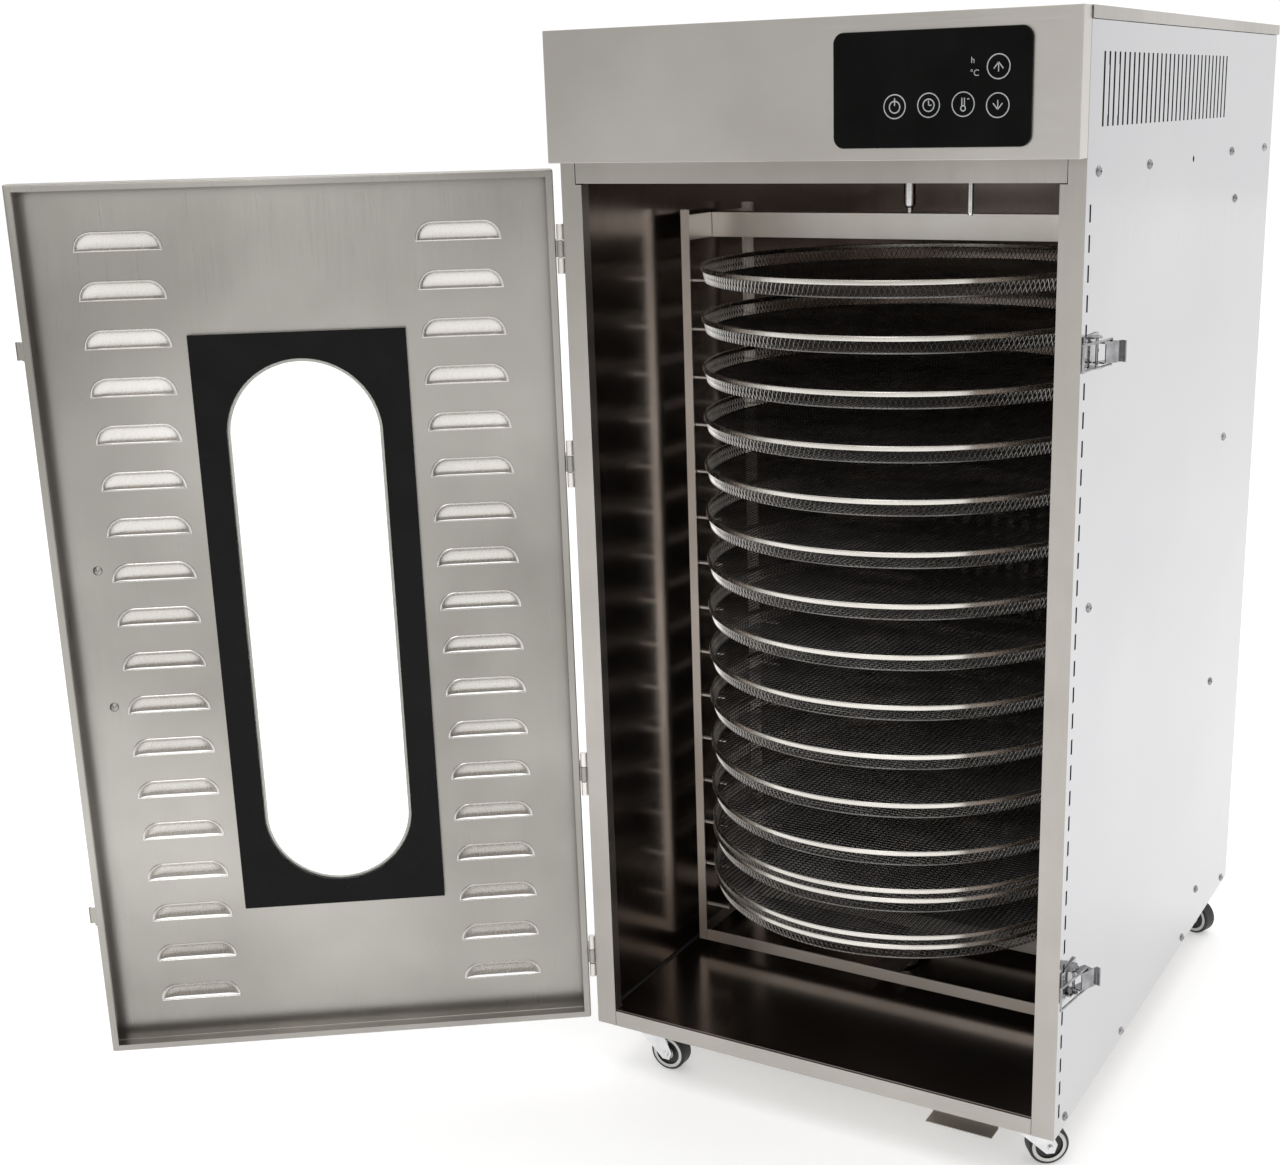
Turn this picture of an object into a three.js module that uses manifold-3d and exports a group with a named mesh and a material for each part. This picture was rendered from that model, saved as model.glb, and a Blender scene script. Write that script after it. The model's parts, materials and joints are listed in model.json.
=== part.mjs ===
// A floor-standing food dehydrator: a tall stainless cabinet on swivel casters,
// with a turning rack of round mesh trays, a louvred door with a window,
// two toggle latches, a touch panel in the header and a rear fan and heater.
// Millimetres, +Z up, the door side faces -Y. Heights are measured from the floor.

import * as THREE from 'three';
import { mergeVertices } from 'three/addons/utils/BufferGeometryUtils.js';
import Module from 'manifold-3d';

const wasm = await Module();
wasm.setup();

// ---------------------------------------------------------------- driving sizes

// Cabinet
const WIDTH = 500;
const DEPTH = 660;
const BASE_Z = 58;                      // underside of the cabinet above the floor
const HEADER_Z = BASE_Z + 884.4;        // underside of the control header
const TOP_Z = BASE_Z + 1000;
const HEADER_DEPTH = 20;                // how far the header stands in front of the frame
const SHEET = 1.2;                      // panel thickness
const GAP = 0.4;                        // gap left between neighbouring sheets
const STILE_WIDTH = 22;
const SILL_HEIGHT = 17;
const RAIL_HEIGHT = 19;

// Drying chamber
const CHAMBER_HALF = 236;               // half of the clear width and depth
const RACK_Y = 236;                     // turning axis of the rack
const FLOOR_Z = BASE_Z + 18.1;          // top of the chamber floor
const CEILING_Z = BASE_Z + 867;         // underside of the chamber ceiling

// Turning rack and trays
const POST_HALF = 219;                  // outer side of the rack posts
const POST_REACH = 70;                  // posts stand this far in front of and behind the axis
const POST_LEG = 9.5;
const RACK_SHEET = 1.6;
const RACK_LOW = BASE_Z + 30;
const RACK_HIGH = BASE_Z + 832;
const LEVELS = 15;
const LEVEL_PITCH = 49.2;
const TOP_LEVEL_Z = BASE_Z + 762;       // centre of the highest support pins
const PIN_RADIUS = 2;
const TRAY_RADIUS = 207;
const TRAY_HEIGHT = 17;
const TRAY_RIM = 8;
const NEST_STEP = 10;                   // rise of a tray that is nested in the one below

// Door
const DOOR_WIDTH = 496;
const DOOR_DEPTH = 24;
const DOOR_LOW = BASE_Z + 4;
const DOOR_HIGH = BASE_Z + 879;
const DOOR_OPEN_DEG = 144.75;
const HINGE_X = -WIDTH / 2 - 3.6;
const HINGE_Y = -0.6;

// Casters
const WHEEL_RADIUS = 20;
const CASTER_TRAIL = 22;
const CASTER_INSET = 42;
// Swivel places and the direction in which each wheel trails, in degrees from +X.
const CASTERS = [
  { name: 'front_left', x: -1, y: CASTER_INSET, trail: 0 },
  { name: 'front_right', x: 1, y: CASTER_INSET, trail: 37 },
  { name: 'rear_left', x: -1, y: DEPTH - CASTER_INSET, trail: 160 },
  { name: 'rear_right', x: 1, y: DEPTH - CASTER_INSET, trail: -20 },
];
const CASTER_X = WIDTH / 2 - CASTER_INSET;

// ---------------------------------------------------------------- materials

const finishes = {
  brushed: { color: 0xb9b5ad, roughness: 0.38, metalness: 1.0 },
  bright: { color: 0xd8dadd, roughness: 0.12, metalness: 1.0 },
  mirror: { color: 0x8f8d8a, roughness: 0.05, metalness: 1.0 },
  chrome: { color: 0xe4e6e8, roughness: 0.08, metalness: 1.0 },
  mesh: { color: 0x4b474a, roughness: 0.5, metalness: 0.9 },
  glass: { color: 0x0c0c0e, roughness: 0.05, metalness: 0.0 },
  board: { color: 0x1f5a38, roughness: 0.6, metalness: 0.0 },
  tyre: { color: 0x17171a, roughness: 0.55, metalness: 0.0 },
  plastic: { color: 0x1d1d1f, roughness: 0.5, metalness: 0.0 },
  heater: { color: 0x6d6a66, roughness: 0.45, metalness: 0.9 },
};

const machine = new THREE.Group();

// ---------------------------------------------------------------- solids

// A closed geometry turned into a solid that can be joined and cut. Corners are rounded to a
// thousandth of a millimetre, so that faces drawn in one plane stay in one plane.
function solidOf(geometry) {
  const bare = geometry.clone();
  for (const name of Object.keys(bare.attributes)) {
    if (name !== 'position') bare.deleteAttribute(name);
  }
  const merged = mergeVertices(bare, 1e-4);
  return new wasm.Manifold(new wasm.Mesh({
    numProp: 3,
    vertProperties: Float32Array.from(merged.attributes.position.array, (v) => Math.round(v * 1000) / 1000),
    triVerts: new Uint32Array(merged.index.array),
  }));
}

function geometryOf(solid) {
  const mesh = solid.getMesh();
  const geometry = new THREE.BufferGeometry();
  const points = new Float32Array(mesh.vertProperties);
  geometry.setAttribute('position', new THREE.BufferAttribute(points, 3));
  geometry.setIndex(new THREE.BufferAttribute(new Uint32Array(mesh.triVerts), 1));
  return geometry;
}

// A block between two values on each axis, given in either order.
function block(x0, x1, y0, y1, z0, z1) {
  const geometry = new THREE.BoxGeometry(Math.abs(x1 - x0), Math.abs(y1 - y0), Math.abs(z1 - z0));
  geometry.translate((x0 + x1) / 2, (y0 + y1) / 2, (z0 + z1) / 2);
  return solidOf(geometry);
}

// A round bar along 'x', 'y' or 'z', from one value to another, centred on the two others.
function bar(axis, radius, from, to, a, b, sides = 16) {
  const length = Math.abs(to - from);
  const middle = (from + to) / 2;
  const geometry = new THREE.CylinderGeometry(radius, radius, length, sides);
  if (axis === 'x') geometry.rotateZ(Math.PI / 2).translate(middle, a, b);
  if (axis === 'y') geometry.translate(a, middle, b);
  if (axis === 'z') geometry.rotateX(Math.PI / 2).translate(a, b, middle);
  return solidOf(geometry);
}

// A turned shape about an upright axis: pairs of radius and height, from the axis back to it.
function turned(profile, segments, x, y) {
  const points = profile.map(([radius, height]) => new THREE.Vector2(radius, height));
  const geometry = new THREE.LatheGeometry(points, segments);
  geometry.rotateX(Math.PI / 2).translate(x, y, 0);
  return solidOf(geometry);
}

// A flat outline in X and Z, given thickness from y0 to y1.
function plate(shape, y0, y1, curveSegments = 6) {
  const depth = Math.abs(y1 - y0);
  const geometry = new THREE.ExtrudeGeometry(shape, { depth, bevelEnabled: false, curveSegments });
  geometry.rotateX(Math.PI / 2).translate(0, Math.max(y0, y1), 0);
  return solidOf(geometry);
}

// An outline in X and Y, given height from z0 to z1.
function column(outline, z0, z1) {
  const shape = new THREE.Shape(outline.map(([x, y]) => new THREE.Vector2(x, y)));
  const geometry = new THREE.ExtrudeGeometry(shape, { depth: z1 - z0, bevelEnabled: false });
  geometry.translate(0, 0, z0);
  return solidOf(geometry);
}

function roundedOutline(x0, x1, z0, z1, radius) {
  const shape = new THREE.Shape();
  shape.moveTo(x0 + radius, z0);
  shape.lineTo(x1 - radius, z0);
  shape.absarc(x1 - radius, z0 + radius, radius, -Math.PI / 2, 0, false);
  shape.lineTo(x1, z1 - radius);
  shape.absarc(x1 - radius, z1 - radius, radius, 0, Math.PI / 2, false);
  shape.lineTo(x0 + radius, z1);
  shape.absarc(x0 + radius, z1 - radius, radius, Math.PI / 2, Math.PI, false);
  shape.lineTo(x0, z0 + radius);
  shape.absarc(x0 + radius, z0 + radius, radius, Math.PI, Math.PI * 1.5, false);
  return shape;
}

function join(first, ...others) {
  return others.reduce((total, solid) => total.add(solid), first);
}

function cut(first, ...tools) {
  return tools.reduce((total, tool) => total.subtract(tool), first);
}

// Names a finished piece and hangs it in its group.
function piece(name, finish, solid, parent = machine) {
  const mesh = new THREE.Mesh(geometryOf(solid), new THREE.MeshStandardMaterial(finishes[finish]));
  mesh.name = name;
  parent.add(mesh);
  return mesh;
}

function steps(count, from, pitch) {
  return Array.from({ length: count }, (_, i) => from + i * pitch);
}

// ---------------------------------------------------------------- cabinet shell

// A side sheet whose front edge is folded round into the stile beside the door opening.
function sidePanel(sign) {
  const outer = sign * WIDTH / 2;
  const stileTop = HEADER_Z - GAP;
  const inner = outer - sign * STILE_WIDTH;
  let panel = join(
    block(outer - sign * SHEET, outer, 0, DEPTH - 1.6, BASE_Z, TOP_Z - 10.5),
    block(inner, outer - sign * 0.2, 0, SHEET, BASE_Z, stileTop),
    block(inner, inner + sign * SHEET, 0, 12, BASE_Z, stileTop),
  );
  const railNotch = block(inner - sign, inner + sign * 6.6, -1, 13, HEADER_Z - RAIL_HEIGHT - 1, TOP_Z);
  const headerNotch = block(inner - sign, outer + sign, -1, GAP, stileTop, TOP_Z);
  panel = cut(panel, railNotch, headerNotch);
  const grille = steps(30, 37, 13.85).map((y) => slot(outer, y, 4.5, BASE_Z + 908, BASE_Z + 966));
  // Only the latch side has a row of small vents behind its front edge.
  const vents = sign < 0 ? [] : steps(35, BASE_Z + 25, 24).map((z) => slot(outer, 12.2, 4.2, z - 7, z + 7));
  const lockHole = bar('x', 3, outer - 3, outer + 3, 329, BASE_Z + 872, 8);
  return cut(panel, ...grille, ...vents, lockHole);
}

// A cutter for an upright slot through a side sheet.
function slot(x, y, width, z0, z1) {
  return block(x - 3, x + 3, y - width / 2, y + width / 2, z0, z1);
}

piece('left_panel', 'bright', sidePanel(-1));
piece('right_panel', 'bright', sidePanel(1));

function backPanel() {
  const half = WIDTH / 2 - SHEET - GAP;
  const sheet = block(-half, half, DEPTH - SHEET, DEPTH, BASE_Z + 2, TOP_Z - 2);
  const intake = steps(14, -78, 12).map((x) => (
    block(x - 3, x + 3, DEPTH - 3, DEPTH + 3, BASE_Z + 360, BASE_Z + 500)));
  const exhaust = steps(14, -78, 12).map((x) => (
    block(x - 3, x + 3, DEPTH - 3, DEPTH + 3, BASE_Z + 910, BASE_Z + 965)));
  return cut(sheet, ...intake, ...exhaust);
}
piece('back_panel', 'brushed', backPanel());

function topCover() {
  const inner = WIDTH / 2 + GAP;
  const back = DEPTH + GAP;
  return cut(
    block(-inner - SHEET, inner + SHEET, GAP, back + SHEET, TOP_Z - 10, TOP_Z),
    block(-inner, inner, -1, back, TOP_Z - 11, TOP_Z - SHEET),
  );
}
piece('top_cover', 'bright', topCover());

// The base sheet, its folded front sill and the small guard bracket under the sill.
function bottomPan() {
  const half = WIDTH / 2 - SHEET - GAP;
  const sillHalf = WIDTH / 2 - STILE_WIDTH - GAP;
  const sillTop = BASE_Z + SILL_HEIGHT;
  const bracket = join(
    block(122, 189, 1, 21, BASE_Z - 16, BASE_Z - 14.8),
    block(122, 189, 19.8, 21, BASE_Z - 16, BASE_Z + 1),
  );
  const stemHoles = CASTERS.map(({ x, y }) => bar('z', 5.6, BASE_Z - 2, BASE_Z + 4, x * CASTER_X, y, 12));
  return cut(join(
    block(-half, half, 13, DEPTH - SHEET - GAP, BASE_Z, BASE_Z + 1.5),
    block(-sillHalf, sillHalf, 0, 14, BASE_Z, BASE_Z + 1.5),
    block(-sillHalf, sillHalf, 0, SHEET, BASE_Z, sillTop),
    block(-sillHalf, sillHalf, 0, 14, sillTop - SHEET, sillTop),
    bracket,
  ), ...stemHoles);
}
piece('bottom_pan', 'brushed', bottomPan());

function topRail() {
  const half = WIDTH / 2 - STILE_WIDTH + 6;
  const low = HEADER_Z - RAIL_HEIGHT;
  return cut(
    block(-half, half, 0, 12, low, HEADER_Z - GAP),
    block(-half - 1, half + 1, SHEET, 13, low + SHEET, HEADER_Z),
  );
}
piece('top_rail', 'brushed', topRail());

// ---------------------------------------------------------------- control header

const CONTROL_X = 125;
const CONTROL_Z = BASE_Z + 940.5;
const CONTROL_WIDTH = 171.5;
const CONTROL_HEIGHT = 92;

function headerFascia() {
  const half = WIDTH / 2;
  const shell = cut(
    block(-half, half, -HEADER_DEPTH, 0, HEADER_Z, TOP_Z),
    block(-half + SHEET, half - SHEET, -HEADER_DEPTH + SHEET, 1, HEADER_Z + SHEET, TOP_Z - SHEET),
  );
  const window = block(CONTROL_X - 80, CONTROL_X + 80, -HEADER_DEPTH - 1, -HEADER_DEPTH + 3,
    CONTROL_Z - 40, CONTROL_Z + 40);
  return cut(shell, window);
}
piece('header_fascia', 'brushed', headerFascia());

function controlGlass() {
  const outline = roundedOutline(
    CONTROL_X - CONTROL_WIDTH / 2, CONTROL_X + CONTROL_WIDTH / 2,
    CONTROL_Z - CONTROL_HEIGHT / 2, CONTROL_Z + CONTROL_HEIGHT / 2, 9);
  const front = -HEADER_DEPTH - 2.8;
  return join(
    plate(outline, front, -HEADER_DEPTH - 0.3),
    block(
      CONTROL_X - 79, CONTROL_X + 79, -HEADER_DEPTH - 1, -HEADER_DEPTH + 2,
      CONTROL_Z - 39, CONTROL_Z + 39,
    ),
  );
}
piece('control_glass', 'glass', controlGlass());

function controlBoard() {
  const face = -HEADER_DEPTH + 4;
  return join(
    block(CONTROL_X - 84, CONTROL_X + 84, face, face + 1.6, CONTROL_Z - 42, CONTROL_Z + 42),
    block(CONTROL_X - 60, CONTROL_X - 30, face + 1, face + 12, CONTROL_Z - 20, CONTROL_Z + 14),
    block(CONTROL_X + 30, CONTROL_X + 46, face + 1, face + 10, CONTROL_Z - 30, CONTROL_Z - 10),
    bar('y', 5, face + 1, face + 13, CONTROL_X + 60, CONTROL_Z + 18, 10),
  );
}
piece('control_board', 'board', controlBoard());

// ---------------------------------------------------------------- chamber liner

const LINER_BACK = RACK_Y + CHAMBER_HALF;
const LINER_LOW = FLOOR_Z + 0.3;
const LINER_HIGH = CEILING_Z - 0.3;

const FAN_Z = BASE_Z + 430;

function linerWrap() {
  const outer = CHAMBER_HALF + SHEET;
  const lip = CHAMBER_HALF - 6;
  const half = [
    [lip, 12.8], [outer, 12.8], [outer, LINER_BACK + SHEET],
  ];
  const inside = [
    [CHAMBER_HALF, LINER_BACK], [CHAMBER_HALF, 14], [lip, 14],
  ];
  const mirrored = (points) => points.map(([x, y]) => [-x, y]).reverse();
  const wrap = column([...half, ...mirrored(half), ...mirrored(inside), ...inside], LINER_LOW, LINER_HIGH);
  const fanSlots = steps(9, -72, 18).map((x) => (
    block(x - 4.5, x + 4.5, LINER_BACK - 2, LINER_BACK + 4, FAN_Z - 75, FAN_Z + 75)));
  return cut(wrap, ...fanSlots);
}
piece('liner_wrap', 'mirror', linerWrap());

// A floor or ceiling sheet, narrower where it passes between the stile folds.
function linerSheet(low, high) {
  const mouth = WIDTH / 2 - STILE_WIDTH - 0.6;
  return join(
    block(-mouth, mouth, 1.6, 16, low, high),
    block(-CHAMBER_HALF + GAP, CHAMBER_HALF - GAP, 14.4, LINER_BACK - GAP, low, high),
  );
}
piece('liner_floor', 'mirror', cut(
  linerSheet(FLOOR_Z - 0.8, FLOOR_Z),
  bar('z', 9, FLOOR_Z - 4, FLOOR_Z + 4, 0, RACK_Y, 16),
));
piece('liner_roof', 'mirror', cut(
  linerSheet(CEILING_Z, CEILING_Z + SHEET),
  bar('z', 6.6, CEILING_Z - 4, CEILING_Z + 4, 0, RACK_Y, 12),
  bar('z', 3.4, CEILING_Z - 4, CEILING_Z + 4, 130, 60, 10),
));

// ---------------------------------------------------------------- turning rack

// The fixed pin that steadies the top of the rack, held by a washer above the ceiling.
function pivotPin() {
  const tip = BASE_Z + 814;
  return turned([
    [0, tip], [2.4, tip], [3, tip + 1.5], [3, BASE_Z + 831], [4.2, BASE_Z + 831.4],
    [6, BASE_Z + 834], [6, CEILING_Z + 3], [15, CEILING_Z + 3], [15, CEILING_Z + 6], [0, CEILING_Z + 6],
  ], 16, 0, RACK_Y);
}
piece('pivot_pin', 'chrome', pivotPin());

function temperatureProbe() {
  const low = CEILING_Z - 32;
  return turned([
    [0, low], [1.8, low + 0.6], [2.6, low + 2.4], [2.6, CEILING_Z + 2], [6, CEILING_Z + 2],
    [6, CEILING_Z + 6], [0, CEILING_Z + 6],
  ], 12, 130, 60);
}
piece('temperature_probe', 'chrome', temperatureProbe());

// One side of the rack: two angle posts, a bottom and a top strip, and the tray support pins.
function rackSide(sign) {
  const outer = sign * POST_HALF;
  const pieces = [];
  for (const end of [-1, 1]) {
    const face = RACK_Y + end * POST_REACH;
    pieces.push(
      block(outer - sign * POST_LEG, outer, face, face - end * RACK_SHEET, RACK_LOW, RACK_HIGH),
      block(outer - sign * RACK_SHEET, outer, face, face - end * POST_LEG, RACK_LOW, RACK_HIGH),
    );
    for (const z of steps(LEVELS, TOP_LEVEL_Z, -LEVEL_PITCH)) {
      pieces.push(bar('x', PIN_RADIUS, sign * 182, outer - sign * 0.6, face - end * 5, z, 6));
    }
  }
  const front = RACK_Y - POST_REACH;
  const rear = RACK_Y + POST_REACH;
  pieces.push(
    block(outer - sign * RACK_SHEET, outer, front, rear, RACK_LOW, RACK_LOW + 13),
    block(outer - sign * RACK_SHEET, outer, front, rear, BASE_Z + 801, BASE_Z + 826),
  );
  return join(...pieces);
}
piece('rack_side_left', 'brushed', rackSide(-1));
piece('rack_side_right', 'brushed', rackSide(1));

// The flat channel across the top of the rack, with the hole for the pivot pin.
function rackTopBar() {
  const half = POST_HALF - RACK_SHEET - 0.3;
  const channel = cut(
    block(-half, half, RACK_Y - 8, RACK_Y + 8, BASE_Z + 801, BASE_Z + 826),
    block(-half - 1, half + 1, RACK_Y - 6.4, RACK_Y + 6.4, BASE_Z + 800, BASE_Z + 824.4),
  );
  return cut(channel, bar('z', 3.5, BASE_Z + 820, BASE_Z + 830, 0, RACK_Y, 12));
}
piece('rack_top_bar', 'brushed', rackTopBar());

// Two angle bars, the strip between them, the hub under it and the drive shaft.
function rackBase() {
  const half = POST_HALF - POST_LEG - 0.4;
  const angle = (end) => {
    const face = RACK_Y + end * POST_REACH;
    return join(
      block(-half, half, face, face - end * RACK_SHEET, RACK_LOW, RACK_LOW + 13),
      block(-half, half, face, face - end * 12, RACK_LOW, RACK_LOW + RACK_SHEET),
    );
  };
  return join(
    angle(-1), angle(1),
    block(-15, 15, RACK_Y - POST_REACH + 1, RACK_Y + POST_REACH - 1, RACK_LOW, RACK_LOW + 3),
    bar('z', 16, FLOOR_Z + 3, RACK_LOW + 1, 0, RACK_Y, 20),
    bar('z', 6, BASE_Z + 6, FLOOR_Z + 5, 0, RACK_Y, 16),
  );
}
piece('rack_base', 'brushed', rackBase());

// A round tray: a flat band round the rim and a shallow mesh dish under it.
function tray(bottom) {
  const floor = bottom + 1.2;
  const top = bottom + TRAY_HEIGHT;
  const band = top - TRAY_RIM;
  return turned([
    [0, bottom], [201, bottom], [202.6, band], [TRAY_RADIUS, band], [TRAY_RADIUS, top],
    [203.8, top], [200.6, floor], [0, floor],
  ], 24, 0, RACK_Y);
}

// One tray on each level; the two lowest loaded levels carry a nested pair, and the last is empty.
const SINGLE_TRAYS = 12;
let trayNumber = 0;
for (let level = 0; level < LEVELS - 1; level += 1) {
  const bottom = TOP_LEVEL_Z - level * LEVEL_PITCH + PIN_RADIUS + 0.3;
  const lifts = level < SINGLE_TRAYS ? [0] : [NEST_STEP, 0];
  for (const lift of lifts) {
    trayNumber += 1;
    piece(`tray_${String(trayNumber).padStart(2, '0')}`, 'mesh', tray(bottom + lift));
  }
}

function turntableMotor() {
  const low = BASE_Z + 1.9;
  return cut(
    join(
      bar('z', 30, low, BASE_Z + 16, 0, RACK_Y, 28),
      block(-44, 44, RACK_Y - 9, RACK_Y + 9, low, low + 2),
    ),
    bar('z', 6.5, BASE_Z + 5, BASE_Z + 20, 0, RACK_Y, 16),
  );
}
piece('turntable_motor', 'plastic', turntableMotor());

// ---------------------------------------------------------------- fan and heater

function fanMotor() {
  return join(
    bar('y', 32, 565, 625, 0, FAN_Z, 24),
    bar('y', 12, 624, DEPTH - 3, 0, FAN_Z, 16),
    block(-85, 85, DEPTH - 3.6, DEPTH - 1.6, FAN_Z - 100, FAN_Z + 100),
    bar('y', 4, 515, 566, 0, FAN_Z, 10),
  );
}
piece('fan_motor', 'plastic', fanMotor());

function fanImpeller() {
  let impeller = bar('y', 18, 520, 545, 0, FAN_Z, 18);
  for (let i = 0; i < 6; i += 1) {
    const blade = new THREE.BoxGeometry(74, 2, 40);
    blade.translate(49, 0, 0).rotateX(Math.PI / 6).rotateY((i * Math.PI) / 3).translate(0, 532, FAN_Z);
    impeller = impeller.add(solidOf(blade));
  }
  return cut(impeller, bar('y', 4.4, 510, 560, 0, FAN_Z, 10));
}
piece('fan_impeller', 'plastic', fanImpeller());

// A ring heating element with two stand-off legs.
function heater() {
  const ring = new THREE.TorusGeometry(104, 4, 6, 24);
  ring.rotateX(Math.PI / 2).translate(0, 500, FAN_Z);
  const legs = [-1, 1].map((side) => bar('y', 3, LINER_BACK + SHEET + 0.3, 501, side * 104, FAN_Z, 8));
  return join(solidOf(ring), ...legs);
}
piece('heater', 'heater', heater());

// A socket for a detachable lead, in a shallow housing on the outside of the back.
function mainsInlet() {
  return cut(
    join(
      block(-209, -151, DEPTH + 0.3, DEPTH + 3, BASE_Z + 57, BASE_Z + 95),
      block(-204.5, -155.5, DEPTH + 2, DEPTH + 20, BASE_Z + 60.5, BASE_Z + 91.5),
    ),
    block(-194, -166, DEPTH + 5, DEPTH + 21, BASE_Z + 67, BASE_Z + 85),
  );
}
piece('mains_inlet', 'plastic', mainsInlet());

// ---------------------------------------------------------------- door

const door = new THREE.Group();
door.position.set(HINGE_X, HINGE_Y, 0);
door.rotation.z = THREE.MathUtils.degToRad(-DOOR_OPEN_DEG);
machine.add(door);

// Door pieces are drawn shut, with the hinge axis at X and Y zero.
const DOOR_LEFT = -WIDTH / 2 + 0.4 - HINGE_X;
const DOOR_RIGHT = DOOR_LEFT + DOOR_WIDTH;
const DOOR_INNER = -0.8 - HINGE_Y;
const DOOR_OUTER = DOOR_INNER - DOOR_DEPTH;
const DOOR_MIDDLE_X = (DOOR_LEFT + DOOR_RIGHT) / 2;
const DOOR_MIDDLE_Z = (DOOR_LOW + DOOR_HIGH) / 2;
const WINDOW_HALF_WIDTH = 102;
const WINDOW_HALF_HEIGHT = 294.5;
const STADIUM_RADIUS = 74;
const STADIUM_HALF_HEIGHT = 269;
const LOUVRE_HALF = 38;
const LOUVRE_COLUMN = 157;              // louvre columns stand this far from the middle
const LOUVRE_PITCH = 45.2;
const LOUVRES = 18;
const HINGE_LEVELS = [806, 601, 280, 76].map((z) => BASE_Z + z);
const LATCH_LEVELS = [728, 155].map((z) => BASE_Z + z);
const KNUCKLE_HALF = 23;
const HOOK_Y = DOOR_INNER - 10;          // front face of the latch hooks on the free edge

function doorPan() {
  const lip = 7;
  const shell = cut(
    block(DOOR_LEFT, DOOR_RIGHT, DOOR_OUTER, DOOR_INNER, DOOR_LOW, DOOR_HIGH),
    block(DOOR_LEFT + SHEET, DOOR_RIGHT - SHEET, DOOR_OUTER + SHEET, DOOR_INNER - SHEET,
      DOOR_LOW + SHEET, DOOR_HIGH - SHEET),
    block(DOOR_LEFT + lip, DOOR_RIGHT - lip, DOOR_OUTER + SHEET, DOOR_INNER + 1,
      DOOR_LOW + lip, DOOR_HIGH - lip),
  );
  const stadium = roundedOutline(
    DOOR_MIDDLE_X - STADIUM_RADIUS, DOOR_MIDDLE_X + STADIUM_RADIUS,
    DOOR_MIDDLE_Z - STADIUM_HALF_HEIGHT, DOOR_MIDDLE_Z + STADIUM_HALF_HEIGHT, STADIUM_RADIUS - 0.01);
  const cutters = [plate(stadium, DOOR_OUTER - 2, DOOR_OUTER + 3, 8)];
  const lowest = DOOR_MIDDLE_Z - LOUVRE_PITCH * (LOUVRES - 1) / 2;
  for (const x of [DOOR_MIDDLE_X - LOUVRE_COLUMN, DOOR_MIDDLE_X + LOUVRE_COLUMN]) {
    for (const z of steps(LOUVRES, lowest, LOUVRE_PITCH)) {
      cutters.push(block(x - LOUVRE_HALF, x + LOUVRE_HALF, DOOR_OUTER - 2, DOOR_OUTER + 3, z - 5, z - 1));
    }
  }
  const knuckles = HINGE_LEVELS.flatMap((z) => [
    bar('z', 3.3, z - 8, z + 8, 0, 0, 12),
    block(2, DOOR_LEFT + 0.4, -20, 0, z - 8, z + 8),
  ]);
  const hooks = LATCH_LEVELS.flatMap((z) => [
    block(DOOR_RIGHT - 1, DOOR_RIGHT + 1.6, HOOK_Y - 8, HOOK_Y + 8, z - 8.5, z + 8.5),
    block(DOOR_RIGHT + 1, DOOR_RIGHT + 8, HOOK_Y, HOOK_Y + 1.6, z - 8.5, z + 8.5),
    block(DOOR_RIGHT + 6.4, DOOR_RIGHT + 8, HOOK_Y - 2.6, HOOK_Y + 1.6, z - 8.5, z + 8.5),
  ]);
  const pinBores = HINGE_LEVELS.map((z) => bar('z', 1.9, z - 9, z + 9, 0, 0, 10));
  return cut(join(cut(shell, ...cutters), ...knuckles, ...hooks), ...pinBores);
}
piece('door_pan', 'brushed', doorPan(), door);

piece('door_glass', 'glass', block(
  DOOR_MIDDLE_X - WINDOW_HALF_WIDTH, DOOR_MIDDLE_X + WINDOW_HALF_WIDTH,
  DOOR_OUTER + SHEET + GAP, DOOR_OUTER + SHEET + GAP + 4,
  DOOR_MIDDLE_Z - WINDOW_HALF_HEIGHT, DOOR_MIDDLE_Z + WINDOW_HALF_HEIGHT), door);

// A bow handle on the outside of the door, near its free edge.
function doorHandle() {
  const x = DOOR_RIGHT - 38;
  const face = DOOR_OUTER - 0.3;
  const reach = face - 32;
  const ends = [-70, 70].map((side) => DOOR_MIDDLE_Z + side);
  return join(
    bar('z', 5, ends[0] - 5, ends[1] + 5, x, reach, 12),
    ...ends.flatMap((z) => [bar('y', 5, face, reach, x, z, 12), bar('y', 9, face, face - 3, x, z, 16)]),
  );
}
piece('door_handle', 'chrome', doorHandle(), door);

// The cabinet half of each hinge: a leaf on the side sheet, two knuckles and the pin.
HINGE_LEVELS.forEach((z, i) => {
  const leafFace = -WIDTH / 2 - 0.3;
  const leaf = block(leafFace, leafFace - 1.5, HINGE_Y, 24, z - KNUCKLE_HALF, z + KNUCKLE_HALF);
  const clear = bar('z', 3.9, z - 8.4, z + 8.4, HINGE_X, HINGE_Y, 12);
  const knuckle = (from, to) => bar('z', 3.3, from, to, HINGE_X, HINGE_Y, 12);
  const hinge = join(
    cut(leaf, clear),
    knuckle(z + 8.4, z + KNUCKLE_HALF), knuckle(z - KNUCKLE_HALF, z - 8.4),
    bar('z', 1.5, z - KNUCKLE_HALF, z + KNUCKLE_HALF, HINGE_X, HINGE_Y, 10),
  );
  piece(`hinge_${i + 1}`, 'brushed', hinge);
});

// ---------------------------------------------------------------- latches

// Toggle latches on the right side: a base with two ears, a lever and a wire loop.
const LATCH_X = WIDTH / 2 + 0.3;
const LEVER_PIVOT_X = LATCH_X + 5;
const LEVER_PIVOT_Y = 26;
const LEVER_RAISED_DEG = 24;            // the lever stands this far off its closed place
const BAIL_ON_LEVER_X = 5;
const BAIL_ON_LEVER_Y = 12;
const BAIL_LENGTH = 51.2;
const BAIL_SLANT_DEG = -8.5;            // the loop leans in towards the door's edge
const BAIL_HALF = 10.6;
const BAIL_WIRE = 1.1;
const LEVER_HALF = 9;

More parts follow.
